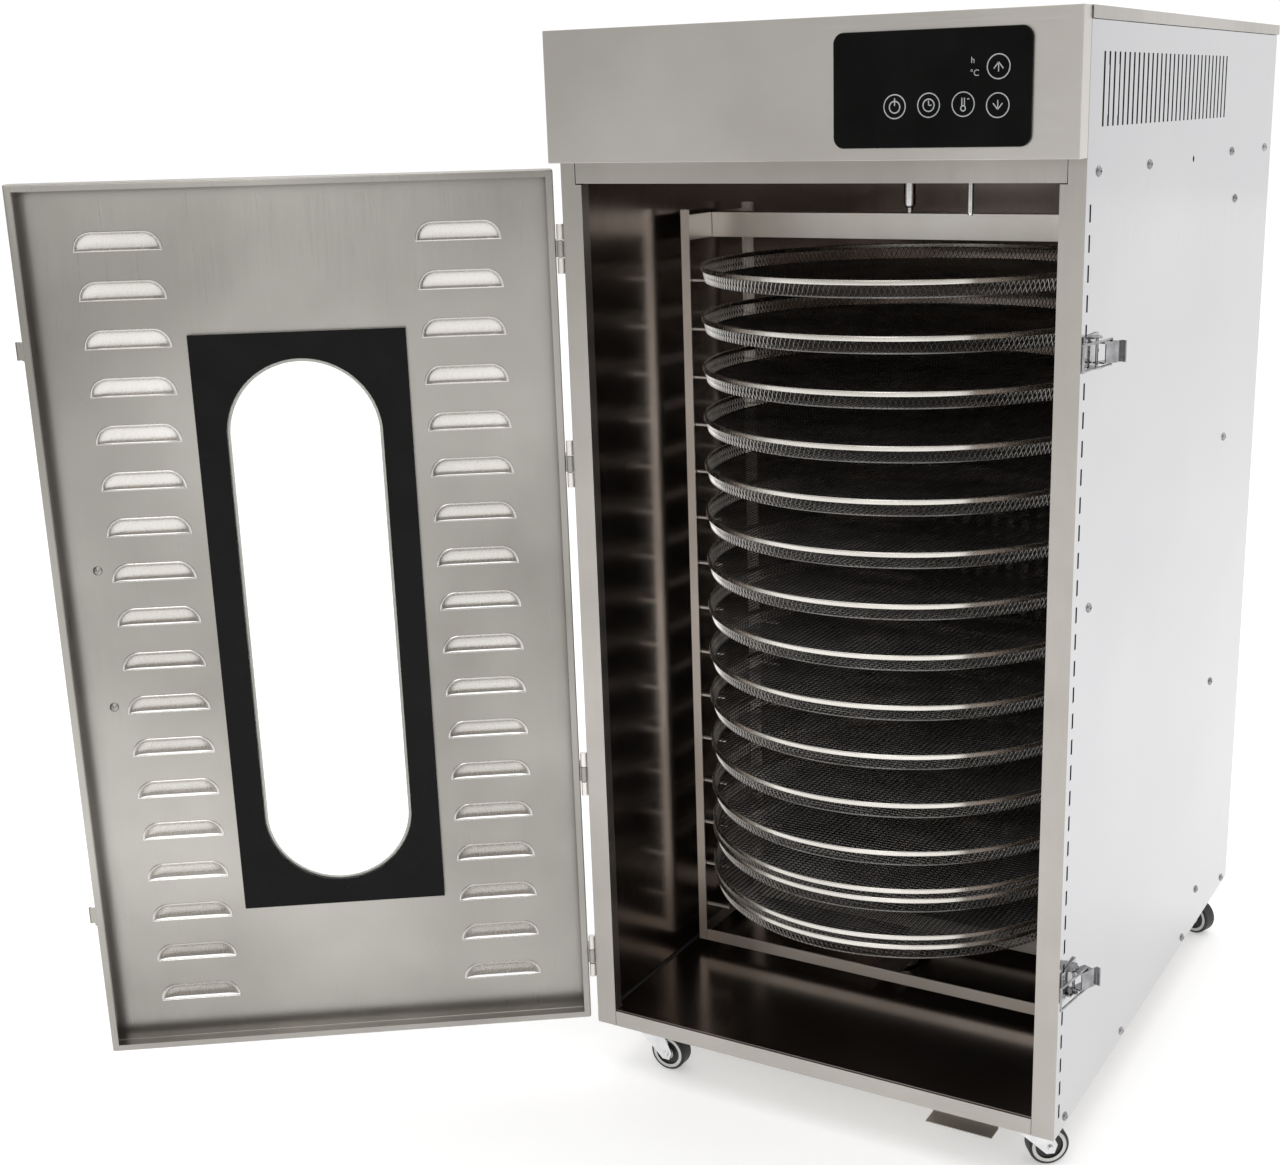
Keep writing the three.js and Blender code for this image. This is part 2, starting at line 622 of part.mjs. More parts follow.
function latchBase(z) {
  const ear = (side) => join(
    block(
      LATCH_X + 0.5, LEVER_PIVOT_X + 1, LEVER_PIVOT_Y - 9, LEVER_PIVOT_Y + 8,
      z + side * 12, z + side * 13.5,
    ),
    bar('z', 4.5, z + side * 12, z + side * 13.5, LEVER_PIVOT_X, LEVER_PIVOT_Y, 12),
  );
  return join(
    block(LATCH_X, LATCH_X + 1.5, 4, 42, z - 15, z + 15),
    ear(1), ear(-1),
    bar('z', 1.3, z - 13, z + 13, LEVER_PIVOT_X, LEVER_PIVOT_Y, 8),
  );
}

// Drawn closed, with its pivot on the origin and its free end towards +Y.
function latchLever() {
  const cheek = (side) => join(
    block(-2.6, 8.4, 0, 17, side * (LEVER_HALF - 1.4), side * LEVER_HALF),
    bar('z', 3, side * (LEVER_HALF - 1.4), side * LEVER_HALF, 0, 0, 8),
  );
  const body = join(
    block(7, 8.4, 2, 23, -LEVER_HALF, LEVER_HALF),
    block(7, 12, 21.6, 23, -LEVER_HALF, LEVER_HALF),
    cheek(1), cheek(-1),
  );
  return cut(
    body,
    bar('z', 1.7, -20, 20, 0, 0, 8),
    bar('z', 1.5, -20, 20, BAIL_ON_LEVER_X, BAIL_ON_LEVER_Y, 8),
  );
}

// A wire loop with its pivot on the origin, reaching towards -Y.
function latchBail() {
  const arm = (side) => join(
    bar('y', BAIL_WIRE, BAIL_WIRE * 0.8, -BAIL_LENGTH - BAIL_WIRE * 0.8, 0, side * BAIL_HALF, 8),
    bar('z', BAIL_WIRE, side * (LEVER_HALF - 1.8), side * (BAIL_HALF + BAIL_WIRE * 0.8), 0, 0, 8),
  );
  return join(arm(1), arm(-1), bar('z', BAIL_WIRE, -BAIL_HALF, BAIL_HALF, 0, -BAIL_LENGTH, 8));
}

LATCH_LEVELS.forEach((z, i) => {
  const place = i === 0 ? 'upper' : 'lower';
  piece(`latch_base_${place}`, 'chrome', latchBase(z));

  const lever = new THREE.Group();
  lever.position.set(LEVER_PIVOT_X, LEVER_PIVOT_Y, z);
  lever.rotation.z = THREE.MathUtils.degToRad(-LEVER_RAISED_DEG);
  machine.add(lever);
  piece(`latch_lever_${place}`, 'chrome', latchLever(), lever);

  const bail = new THREE.Group();
  bail.position.set(BAIL_ON_LEVER_X, BAIL_ON_LEVER_Y, 0);
  bail.rotation.z = THREE.MathUtils.degToRad(LEVER_RAISED_DEG + BAIL_SLANT_DEG);
  lever.add(bail);
  piece(`latch_bail_${place}`, 'chrome', latchBail(), bail);
});

// ---------------------------------------------------------------- casters

const FORK_INNER = 10.5;
const FORK_OUTER = 12.3;

// Drawn with the swivel axis on the origin and the wheel trailing towards +X.
function casterFork() {
  const top = BASE_Z - 0.3;
  const cheek = new THREE.Shape([
    [-13, top - 2], [13, top - 2], [CASTER_TRAIL + 7, WHEEL_RADIUS + 3],
    [CASTER_TRAIL + 4, WHEEL_RADIUS - 6], [CASTER_TRAIL - 4, WHEEL_RADIUS - 6], [-13, top - 14],
  ].map(([x, z]) => new THREE.Vector2(x, z)));
  return join(
    bar('z', 17, top - 3, top, 0, 0, 16),
    bar('z', 5, top - 1, BASE_Z + 12, 0, 0, 8),
    plate(cheek, FORK_INNER, FORK_OUTER),
    plate(cheek, -FORK_OUTER, -FORK_INNER),
    bar('y', 3, -FORK_OUTER - 2.5, FORK_OUTER + 2.5, CASTER_TRAIL, WHEEL_RADIUS, 8),
  );
}

function casterWheel() {
  const bore = 3.4;
  const section = [
    [bore, -9], [18, -9], [WHEEL_RADIUS, -7], [WHEEL_RADIUS, 7], [18, 9], [bore, 9], [bore, -9],
  ].map(([radius, across]) => new THREE.Vector2(radius, across));
  const tyre = new THREE.LatheGeometry(section, 20);
  tyre.translate(CASTER_TRAIL, 0, WHEEL_RADIUS);
  return solidOf(tyre);
}

for (const { name, x, y, trail } of CASTERS) {
  const caster = new THREE.Group();
  caster.position.set(x * CASTER_X, y, 0);
  caster.rotation.z = THREE.MathUtils.degToRad(trail);
  machine.add(caster);
  piece(`caster_fork_${name}`, 'chrome', casterFork(), caster);
  piece(`caster_wheel_${name}`, 'tyre', casterWheel(), caster);
}

// ---------------------------------------------------------------- origin

// The origin is on the floor, under the middle of the machine as it stands with its door open.
const bounds = new THREE.Box3().setFromObject(machine, true);
const centre = bounds.getCenter(new THREE.Vector3());
machine.position.set(-centre.x, -centre.y, -bounds.min.z);

export default machine;
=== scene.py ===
# %% [markdown]
# # A food dehydrator, dressed for its portrait
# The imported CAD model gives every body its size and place. This script keeps that frame still and
# builds the looks around it: folded steel sheets with soft edges, a louvred door, round trays of
# woven wire, casters, latches and a touch panel. It also shows how to do each of these in Blender.

# %% Load the frame
import json
import math

import bpy
from mathutils import Matrix, Vector

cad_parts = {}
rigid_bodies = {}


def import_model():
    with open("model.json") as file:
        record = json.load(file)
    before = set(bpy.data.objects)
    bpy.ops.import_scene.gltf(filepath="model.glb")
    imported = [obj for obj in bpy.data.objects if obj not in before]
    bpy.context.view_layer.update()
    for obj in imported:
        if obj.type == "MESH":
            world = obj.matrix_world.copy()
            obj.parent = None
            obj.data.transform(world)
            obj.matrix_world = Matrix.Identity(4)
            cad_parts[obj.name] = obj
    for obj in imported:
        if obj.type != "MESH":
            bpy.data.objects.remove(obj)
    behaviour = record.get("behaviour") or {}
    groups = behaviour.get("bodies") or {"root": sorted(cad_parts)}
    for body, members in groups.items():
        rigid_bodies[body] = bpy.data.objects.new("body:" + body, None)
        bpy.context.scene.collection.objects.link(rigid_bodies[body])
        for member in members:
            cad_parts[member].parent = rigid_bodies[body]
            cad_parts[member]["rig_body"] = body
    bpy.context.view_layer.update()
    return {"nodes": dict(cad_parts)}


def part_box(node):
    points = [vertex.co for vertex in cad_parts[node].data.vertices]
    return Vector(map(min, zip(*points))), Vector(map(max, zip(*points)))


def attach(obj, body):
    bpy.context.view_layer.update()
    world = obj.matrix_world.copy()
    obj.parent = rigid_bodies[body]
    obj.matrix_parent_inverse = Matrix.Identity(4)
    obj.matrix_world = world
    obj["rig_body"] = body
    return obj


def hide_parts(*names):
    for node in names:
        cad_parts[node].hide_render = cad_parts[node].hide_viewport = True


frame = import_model()

# %% [markdown]
# ## Finding places on the cabinet
# The cabinet's middle, front face and half width are worked out from boxes of CAD nodes. The
# cabinet is easiest to think about
# in its own drawing: X from the middle, Y from the front face, Z from the floor, in millimetres.
# One function turns such a place into metres in the shared frame.

# %% Cabinet drawing to frame
panel_low, panel_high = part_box("right_panel")
left_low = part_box("left_panel")[0]
MIDDLE_X = (panel_high.x + left_low.x) / 2
FRONT_Y = panel_low.y
MM = 0.001
BASE_Z = 58.0                       # underside of the cabinet, above the floor
HALF_WIDTH = (panel_high.x - MIDDLE_X) / MM
DEPTH = 660.0


def spot(x, y, z):
    """A place in the cabinet's drawing, in metres in the frame."""
    return Vector((MIDDLE_X + x * MM, FRONT_Y + y * MM, z * MM))


print("cabinet middle", round(MIDDLE_X, 4), "front", round(FRONT_Y, 4), "half width", HALF_WIDTH)

# %% [markdown]
# ## Small modelling helpers
# Operators act on whatever is selected, and the loaded CAD nodes are still selected, so the first
# helper clears the selection and picks one object. The others add a primitive at its real size,
# bake its place into the mesh, apply a modifier, and join finished bits into one piece.

# %% Selection and primitives
def only(piece):
    if bpy.context.object and bpy.context.object.mode != "OBJECT":
        bpy.ops.object.mode_set(mode="OBJECT")
    bpy.ops.object.select_all(action="DESELECT")
    piece.select_set(True)
    bpy.context.view_layer.objects.active = piece
    return piece


def settle(piece):
    """Moves the object's place, turn and scale into its mesh."""
    only(piece)
    bpy.ops.object.transform_apply(location=True, rotation=True, scale=True)
    return piece


def named(piece, name):
    piece.name = name
    piece.data.name = name
    return piece


def slab(name, x, y, z):
    """A block between two values on each axis, in millimetres of whatever drawing is in use."""
    bpy.ops.object.select_all(action="DESELECT")
    centre = [(a[0] + a[1]) / 2 * MM for a in (x, y, z)]
    bpy.ops.mesh.primitive_cube_add(size=1, location=centre)
    made = bpy.context.object
    made.scale = [abs(a[1] - a[0]) * MM for a in (x, y, z)]
    return named(settle(made), name)


TURN = {"x": (0, math.pi / 2, 0), "y": (math.pi / 2, 0, 0), "z": (0, 0, 0)}


def rod(name, radius, length, centre, axis="z", sides=24, fill="NGON"):
    bpy.ops.object.select_all(action="DESELECT")
    bpy.ops.mesh.primitive_cylinder_add(
        vertices=sides, radius=radius * MM, depth=length * MM, end_fill_type=fill,
        location=[v * MM for v in centre], rotation=TURN[axis])
    return named(settle(bpy.context.object), name)


def apply(piece, kind, **settings):
    only(piece)
    modifier = piece.modifiers.new(kind.lower(), kind)
    for key, value in settings.items():
        setattr(modifier, key, value)
    bpy.ops.object.modifier_apply(modifier=modifier.name)
    return piece


def soften(piece, width=0.5, segments=2):
    """Rounds the sharp edges by a width in millimetres."""
    return apply(piece, "BEVEL", width=width * MM, segments=segments, limit_method="ANGLE",
                 angle_limit=math.radians(35), use_clamp_overlap=True)


def smooth(piece, degrees=40):
    """Smooth shading that keeps the broad faces flat, so that only the rounded edges bend light."""
    only(piece)
    bpy.ops.object.shade_smooth_by_angle(angle=math.radians(degrees))
    return apply(piece, "WEIGHTED_NORMAL", keep_sharp=True, weight=100)


def together(name, *bits):
    only(bits[0])
    for bit in bits:
        bit.select_set(True)
    bpy.ops.object.join()
    return named(bpy.context.object, name)


def twin(piece, name, offset=(0, 0, 0)):
    """A copy with its own mesh, moved by millimetres."""
    only(piece)
    bpy.ops.object.duplicate(linked=False)
    made = bpy.context.object
    made.location = [v * MM for v in offset]
    return named(settle(made), name)


def pick(piece, test, kind="VERT"):
    """Selects the vertices or faces that pass a test, and leaves the piece in edit mode."""
    only(piece)
    bpy.ops.object.mode_set(mode="EDIT")
    bpy.ops.mesh.select_mode(type=kind)
    bpy.ops.mesh.select_all(action="DESELECT")
    bpy.ops.object.mode_set(mode="OBJECT")
    if kind == "VERT":
        for vertex in piece.data.vertices:
            vertex.select = bool(test(vertex.co / MM))
    else:
        for face in piece.data.polygons:
            face.select = bool(test(face.center / MM, face.normal))
    bpy.ops.object.mode_set(mode="EDIT")


def done():
    bpy.ops.object.mode_set(mode="OBJECT")


print("helpers ready")

# %% [markdown]
# ## Steel finishes
# Sheet steel is rarely one even grey. Rolling leaves a fine grain along the sheet, handling leaves
# faint cloudy marks, and both show in how sharply it reflects. One maker's recipe covers all the
# sheets: a noise stretched along the grain drives a shallow bump and the roughness, and a large
# soft noise tints the colour. Each finish sets its own strength, so none is a flat grey.

# %% The steel recipe
def new_material(name):
    material = bpy.data.materials.new(name)
    material.use_nodes = True
    shader = material.node_tree.nodes["Principled BSDF"]
    return material, material.node_tree.nodes, material.node_tree.links, shader


def noise(nodes, links, coords, scale, stretch=(1, 1, 1), detail=3.0):
    mapping = nodes.new("ShaderNodeMapping")
    mapping.inputs["Scale"].default_value = stretch
    links.new(coords, mapping.inputs["Vector"])
    texture = nodes.new("ShaderNodeTexNoise")
    texture.inputs["Scale"].default_value = scale
    texture.inputs["Detail"].default_value = detail
    links.new(mapping.outputs["Vector"], texture.inputs["Vector"])
    return texture.outputs["Fac"]


def ramp(nodes, links, source, stops):
    """Turns a 0 to 1 value into a colour; stops are (place, colour or grey)."""
    node = nodes.new("ShaderNodeValToRGB")
    elements = node.color_ramp.elements
    while len(elements) < len(stops):
        elements.new(0.5)
    for element, (place, colour) in zip(elements, stops):
        element.position = place
        rgb = colour if isinstance(colour, tuple) else (colour, colour, colour)
        element.color = (*rgb, 1)
    links.new(source, node.inputs["Fac"])
    return node.outputs["Color"]


def steel(name, dark, light, rough, grain, bump=0.02, cloud=5.0):
    """dark and light are the ends of the tint, rough is (low, high), grain stretches the noise."""
    material, nodes, links, shader = new_material(name)
    coords = nodes.new("ShaderNodeTexCoord").outputs["Object"]
    tint = noise(nodes, links, coords, cloud, detail=4.0)
    links.new(ramp(nodes, links, tint, [(0.3, dark), (0.7, light)]), shader.inputs["Base Color"])
    fine = noise(nodes, links, coords, 900, grain, detail=2.0)
    sharpness = ramp(nodes, links, fine, [(0.25, rough[0]), (0.75, rough[1])])
    links.new(sharpness, shader.inputs["Roughness"])
    lift = nodes.new("ShaderNodeBump")
    lift.inputs["Strength"].default_value = bump
    lift.inputs["Distance"].default_value = 0.0004
    links.new(fine, lift.inputs["Height"])
    links.new(lift.outputs["Normal"], shader.inputs["Normal"])
    shader.inputs["Metallic"].default_value = 1.0
    return material


UPRIGHT = (1, 1, 0.02)
ALONG_X = (0.02, 1, 1)
door_steel = steel("door_steel", (0.27, 0.255, 0.235), (0.51, 0.49, 0.46),
                   (0.27, 0.36), UPRIGHT, 0.015, cloud=2.6)
pressed_steel = steel("pressed_steel", (0.56, 0.54, 0.51), (0.70, 0.68, 0.65),
                      (0.20, 0.30), UPRIGHT, 0.02)
frame_steel = steel("frame_steel", (0.39, 0.37, 0.34), (0.50, 0.475, 0.445),
                    (0.28, 0.40), UPRIGHT, 0.08)
header_steel = steel("header_steel", (0.52, 0.495, 0.465), (0.64, 0.615, 0.585),
                     (0.30, 0.36), ALONG_X, 0.03)
side_steel = steel("side_steel", (0.49, 0.49, 0.505), (0.54, 0.54, 0.55),
                   (0.10, 0.20), UPRIGHT, 0.03, cloud=3.0)
liner_steel = steel("liner_steel", (0.26, 0.215, 0.19), (0.38, 0.33, 0.30),
                    (0.15, 0.26), UPRIGHT, 0.02)
latch_plate = steel("latch_plate", (0.20, 0.20, 0.205), (0.42, 0.42, 0.43),
                    (0.08, 0.20), (1, 1, 1), 0.05, cloud=90)
rack_steel = steel("rack_steel", (0.70, 0.67, 0.62), (0.84, 0.81, 0.77),
                   (0.30, 0.40), UPRIGHT, 0.01)
bright_plate = steel("bright_plate", (0.66, 0.66, 0.67), (0.80, 0.80, 0.81),
                     (0.10, 0.22), (1, 1, 1), 0.04, cloud=60)
rim_steel = steel("rim_steel", (0.60, 0.575, 0.53), (0.74, 0.715, 0.67),
                  (0.18, 0.30), (1, 1, 0.1), 0.04, cloud=14)
wire_steel = steel("wire_steel", (0.56, 0.54, 0.52), (0.74, 0.72, 0.70),
                   (0.24, 0.38), (1, 1, 1), 0.05, cloud=40)
# painted shade: the tray's floor wires and floor hoop are the same bright steel as its wall wires,
# coloured dark for the shade they lie in
floor_wire_painted_shade = steel("floor_wire_painted_shade", (0.12, 0.115, 0.11), (0.22, 0.21, 0.205),
                   (0.26, 0.40), (1, 1, 1), 0.05, cloud=24)
heater_metal = steel("heater_metal", (0.22, 0.19, 0.17), (0.40, 0.34, 0.29),
                     (0.35, 0.55), (1, 1, 1), 0.10, cloud=30)
print(len(bpy.data.materials), "materials after the steels")

# %% [markdown]
# ## Plastic, rubber, glass and board
# These use the same idea with a plain noise: moulded plastic has a fine pebble, rubber has dull
# dusty patches, and printed glass is black with a very slight waviness. The clear window is real
# glass, so light passes through it.

# %% The other finishes
def moulded(name, dark, light, rough, grain_scale, bump):
    material, nodes, links, shader = new_material(name)
    coords = nodes.new("ShaderNodeTexCoord").outputs["Object"]
    tint = noise(nodes, links, coords, 30, detail=4.0)
    links.new(ramp(nodes, links, tint, [(0.3, dark), (0.7, light)]), shader.inputs["Base Color"])
    pebble = noise(nodes, links, coords, grain_scale, detail=2.0)
    sharpness = ramp(nodes, links, pebble, [(0.3, rough[0]), (0.7, rough[1])])
    links.new(sharpness, shader.inputs["Roughness"])
    lift = nodes.new("ShaderNodeBump")
    lift.inputs["Strength"].default_value = bump
    lift.inputs["Distance"].default_value = 0.0002
    links.new(pebble, lift.inputs["Height"])
    links.new(lift.outputs["Normal"], shader.inputs["Normal"])
    return material


black_plastic = moulded("black_plastic", 0.018, 0.030, (0.42, 0.56), 1500, 0.25)
tyre_rubber = moulded("tyre_rubber", 0.010, 0.022, (0.42, 0.62), 700, 0.20)
hub_grey = moulded("hub_grey", (0.60, 0.60, 0.59), (0.72, 0.72, 0.71), (0.30, 0.42), 900, 0.10)
board_green = moulded("board_green", (0.02, 0.10, 0.045), (0.035, 0.15, 0.07),
                      (0.30, 0.45), 500, 0.15)
# near-black: the real colour of the floor sealant, and painted shade on the side panels' slot walls
# and inner side
sealant_and_painted_shade = moulded("sealant_and_painted_shade", 0.012, 0.022, (0.55, 0.7), 900, 0.10)
printed_glass = moulded("printed_glass", 0.0022, 0.0045, (0.05, 0.09), 12, 0.01)
print_shader = printed_glass.node_tree.nodes["Principled BSDF"]
print_shader.inputs["Specular IOR Level"].default_value = 0.12
mark_ink = moulded("mark_ink", (0.30, 0.31, 0.32), (0.42, 0.43, 0.44), (0.35, 0.5), 900, 0.05)

clear_glass, _, _, clear_shader = new_material("clear_glass")
clear_shader.inputs["Base Color"].default_value = (0.96, 0.985, 0.975, 1)
clear_shader.inputs["Roughness"].default_value = 0.01
clear_shader.inputs["IOR"].default_value = 1.46
clear_shader.inputs["Transmission Weight"].default_value = 1.0
print(len(bpy.data.materials), "materials in all")


def finish_with(piece, material):
    piece.data.materials.clear()
    piece.data.materials.append(material)
    return piece


# %% [markdown]
# ## Camera
# The camera stands in front, to the right of the machine and a little above its middle, and looks
# down on it. Its place is given in the cabinet's drawing, and its three axes come from a pan, a
# tilt and a slight roll. The small shift moves the view without bending the uprights.

# %% The camera
def turn(angle, axis):
    return Matrix.Rotation(math.radians(angle), 3, axis)


CAMERA_AT = (692.42, -1412.38, 990.87)
PAN, TILT, ROLL = 29.74, -15.93, 1.47
looking = turn(PAN, "Z") @ turn(TILT, "X") @ turn(ROLL, "Y")
right, forward, up = (looking.col[i] for i in range(3))
camera_data = bpy.data.cameras.new("camera")
camera_data.sensor_fit = "HORIZONTAL"
camera_data.sensor_width = 36
camera_data.lens = 49.91
camera_data.shift_x = -0.0460
camera_data.shift_y = 0.0225
camera_data.clip_end = 30
camera = bpy.data.objects.new("camera", camera_data)
bpy.context.scene.collection.objects.link(camera)
place = Matrix((
    (right.x, up.x, -forward.x), (right.y, up.y, -forward.y), (right.z, up.z, -forward.z)))
camera.matrix_world = Matrix.Translation(spot(*CAMERA_AT)) @ place.to_4x4()
bpy.context.scene.camera = camera
print("camera at", [round(v, 3) for v in camera.location])

# %% [markdown]
# ## Folded sheets from the CAD
# The cabinet's sheets already have the right shape, but real folds have a small radius that
# catches the light. A copy of each node is merged, given a narrow bevel, and shown in place of
# the sharp one. The CAD node itself is never touched.

# %% Soft-edged copies
def copy_of(node, name):
    source = frame["nodes"][node]
    made = bpy.data.objects.new(name, source.data.copy())
    bpy.context.scene.collection.objects.link(made)
    made.data.name = name
    only(made)
    bpy.ops.object.mode_set(mode="EDIT")
    bpy.ops.mesh.select_all(action="SELECT")
    bpy.ops.mesh.remove_doubles(threshold=2e-6)
    bpy.ops.mesh.dissolve_limited(angle_limit=math.radians(0.5))
    bpy.ops.mesh.customdata_custom_splitnormals_clear()
    done()
    return made


def body_of_node(node):
    return frame["nodes"][node]["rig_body"]


def dress(node, material, width=0.35, segments=2, degrees=40):
    """Shows a soft-edged copy of a CAD node, with a finish."""
    made = copy_of(node, node + "_finished")
    if width:
        soften(made, width, segments)
    smooth(made, degrees)
    finish_with(made, material)
    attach(made, body_of_node(node))
    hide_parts(node)
    return made


SHEETS = {"left_panel": (side_steel, 0.45), "right_panel": (side_steel, 0.45),
          "bottom_pan": (frame_steel, 0.4), "top_rail": (frame_steel, 0.4),
          "top_cover": (frame_steel, 0.4), "header_fascia": (header_steel, 0.6, 3),
          "back_panel": (frame_steel, 0.3, 1), "liner_wrap": (liner_steel, 0.3, 1),
          "liner_floor": (liner_steel, 0.3, 1), "liner_roof": (liner_steel, 0.3, 1)}
for node, finish in SHEETS.items():
    dress(node, *finish)
print("sheets dressed:", len(SHEETS))

# %% [markdown]
# The stiles are folded from the polished side sheets, yet their front faces carry the satin grain
# of the frame. A second material slot on the same piece does that: the faces that look forward, and
# the return beside the opening, take the frame's finish. A third slot paints shade on the unseen
# inner side and the walls of the vent slots, near-black, so that the slots read as dark openings.

# %% Satin stiles on polished sides
STILE_FOLD = 1.0                    # the return starts this far inside the panel's outer face
RETURN_DEPTH = 12.5

for side in ("left_panel_finished", "right_panel_finished"):
    sheet_piece = bpy.data.objects[side]
    sheet_piece.data.materials.append(frame_steel)
    sheet_piece.data.materials.append(sealant_and_painted_shade)
    sign = -1 if side.startswith("left") else 1
    stile_inside = MIDDLE_X + sign * (HALF_WIDTH - STILE_FOLD) * MM
    count = 0
    for face in sheet_piece.data.polygons:
        forward_facing = face.normal.y < -0.5 and face.center.y < FRONT_Y + 0.002
        in_return = ((face.center.x - stile_inside) * sign < 0
                     and face.center.y < FRONT_Y + RETURN_DEPTH * MM)
        if forward_facing or in_return:
            face.material_index = 1
            count += 1
        # painted shade: the slot walls and the panel's inner side take the near-black finish
        elif face.normal.x * sign < 0.5:
            face.material_index = 2
    print(side, "satin faces:", count)

# %% [markdown]
# ## The rack and the inside fittings
# The rack's posts, pins and bars are right as they are, so they too are shown as soft-edged
# copies, in satin steel. The pins are turned rod, which smooth shading rounds off.

# %% Rack and fittings
for node in ("rack_side_left", "rack_side_right", "rack_top_bar", "rack_base"):
    dress(node, rack_steel, 0.2, 1, 38)
for node in ("pivot_pin", "temperature_probe"):
    dress(node, bright_plate, 0.2, 2, 50)
for node in ("turntable_motor", "fan_motor", "fan_impeller"):
    dress(node, black_plastic, 0.5, 2)
dress("heater", heater_metal, 0, 1, 75)
floor_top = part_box("liner_floor")[1].z / MM
wall_left, wall_right = ((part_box("liner_wrap")[i].x - MIDDLE_X) / MM for i in (0, 1))
SEALANT_R, SEALANT_LONG, SEALANT_MIDDLE = 1.6, 560, 286
lines = [rod("sealant", SEALANT_R, SEALANT_LONG, (x, SEALANT_MIDDLE, floor_top), "y", 10)
         for x in (wall_left + 2.2, wall_right - 2.2)]
sealant = together("floor_sealant", *lines)
sealant.location = (MIDDLE_X, FRONT_Y, 0)
smooth(finish_with(settle(sealant), sealant_and_painted_shade), 50)
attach(sealant, "cabinet")
dress("control_board", board_green, 0.2, 1)
dress("mains_inlet", black_plastic, 0.6, 2)
for number in range(1, 5):
    dress(f"hinge_{number}", rack_steel, 0.2, 2, 50)
print("fittings dressed")

# %% [markdown]
# ## The door
# The door is a shallow pan of folded sheet, open towards the chamber, with a narrow lip all round
# its inner side. It is drawn shut, with the hinge axis at zero, and swung open at the end. An open
# box with its rim drawn in makes the pan; Solidify then gives the sheet its thickness.

# %% The door pan
DOOR_X = (4.0, 500.0)
DOOR_Y = (-24.2, -0.2)
DOOR_Z = (BASE_Z + 4, BASE_Z + 879)
DOOR_MIDDLE = (252.0, 499.5)
HINGE = (-253.6, -0.6)
OPEN_DEG = 144.75
SHEET = 1.2
LIP = 7.0
DOOR_WIDE = DOOR_X[1] - DOOR_X[0]
DOOR_TALL = DOOR_Z[1] - DOOR_Z[0]


def hang(piece):
    """Swings a piece drawn on the shut door out to where the door stands open."""
    piece.matrix_world = Matrix.Translation(spot(*HINGE, 0)) @ Matrix.Rotation(
        -math.radians(OPEN_DEG), 4, "Z")
    return settle(piece)


door = slab("door_sheet", DOOR_X, DOOR_Y, DOOR_Z)
pick(door, lambda c, n: n.y > 0.9, "FACE")
bpy.ops.mesh.delete(type="ONLY_FACE")
done()
pick(door, lambda c: c.y > -0.5)
bpy.ops.mesh.extrude_edges_indiv()
bpy.ops.transform.resize(
    value=(1 - 2 * LIP / DOOR_WIDE, 1, 1 - 2 * LIP / DOOR_TALL),
    center_override=(DOOR_MIDDLE[0] * MM, DOOR_Y[1] * MM, DOOR_MIDDLE[1] * MM))
bpy.ops.mesh.select_all(action="SELECT")
bpy.ops.mesh.normals_make_consistent(inside=False)
done()
soften(door, 2.0, 3)
apply(door, "SOLIDIFY", thickness=SHEET * MM, offset=-1.0)
print("door pan", [round(v / MM, 1) for v in door.dimensions])

# %% [markdown]
# Each louvre is a pressed hood with an arched top and a straight slot below it. A ball cut to its
# outer upper quarter is a hood that is too short; cutting it at the middle, moving the half
# sideways and drawing it back to the centre line gives it a straight back, and a mirror makes the
# other half. The cutter for the hole behind it is a block with its two upper corners rounded off.

# %% One louvre, its hole and its rolled edge
LOUVRE_HALF = 40.5
LOUVRE_CORNER = 17.0
LOUVRE_TALL = 18.0
LOUVRE_DEEP = 7.5
LOUVRE_PITCH = 45.2
LOUVRE_COUNT = 18
LOUVRE_LOW = BASE_Z + 47.5
LOUVRE_EDGE = 0.8                   # the hole stops this far inside the hood
LOUVRE_COLUMN = 157.0               # a column stands this far from the door's middle


def quarter(piece):
    """Keeps the part at +X, above zero and outside the sheet."""
    for normal in ((1, 0, 0), (0, 0, 1), (0, -1, 0)):
        only(piece)
        bpy.ops.object.mode_set(mode="EDIT")
        bpy.ops.mesh.select_all(action="SELECT")
        bpy.ops.mesh.bisect(plane_co=(0, 0, 0), plane_no=normal, clear_inner=True)
        done()
    return piece


def widen(piece, straight):
    """Moves the half aside, draws its cut edge back to the centre line, and mirrors it."""
    piece.location.x = straight * MM
    settle(piece)
    pick(piece, lambda c: abs(c.x - straight) < 0.01)
    bpy.ops.mesh.extrude_edges_indiv()
    bpy.ops.transform.translate(value=(-straight * MM, 0, 0))
    done()
    return apply(piece, "MIRROR", use_axis=(True, False, False), use_clip=True,
                 merge_threshold=1e-5)


bpy.ops.object.select_all(action="DESELECT")
bpy.ops.mesh.primitive_uv_sphere_add(segments=24, ring_count=16, radius=MM, rotation=TURN["x"])
hood = named(settle(bpy.context.object), "louvre_hood")
hood.scale = (LOUVRE_CORNER, LOUVRE_DEEP, LOUVRE_TALL)
settle(hood)
quarter(hood)
widen(hood, LOUVRE_HALF - LOUVRE_CORNER)
only(hood)
bpy.ops.object.mode_set(mode="EDIT")
bpy.ops.mesh.select_all(action="SELECT")
bpy.ops.mesh.remove_doubles(threshold=1e-5)
bpy.ops.mesh.normals_make_consistent(inside=False)
done()
apply(hood, "SOLIDIFY", thickness=1.0 * MM, offset=-1.0)
smooth(hood, 45)

hole_half = LOUVRE_HALF - LOUVRE_EDGE
cutter = slab("louvre_hole", (-hole_half, hole_half), (-2.5, 2.5), (0, LOUVRE_TALL - LOUVRE_EDGE))
for side in (1, -1):
    pick(cutter, lambda c: c.z > 15 and c.x * side > 30)
    bpy.ops.mesh.bevel(offset=16 * MM, segments=8, affect="EDGES")
    done()
print("hood", [round(v / MM, 1) for v in hood.dimensions])
print("hole", [round(v / MM, 1) for v in cutter.dimensions])

# %% [markdown]
# The press leaves a small rolled edge round each hole, which is what catches the light. It is a
# thin tube along the hole's outline: the flat side of the cutter, with its face removed, becomes a
# curve, gets a round profile, and turns back into a mesh.

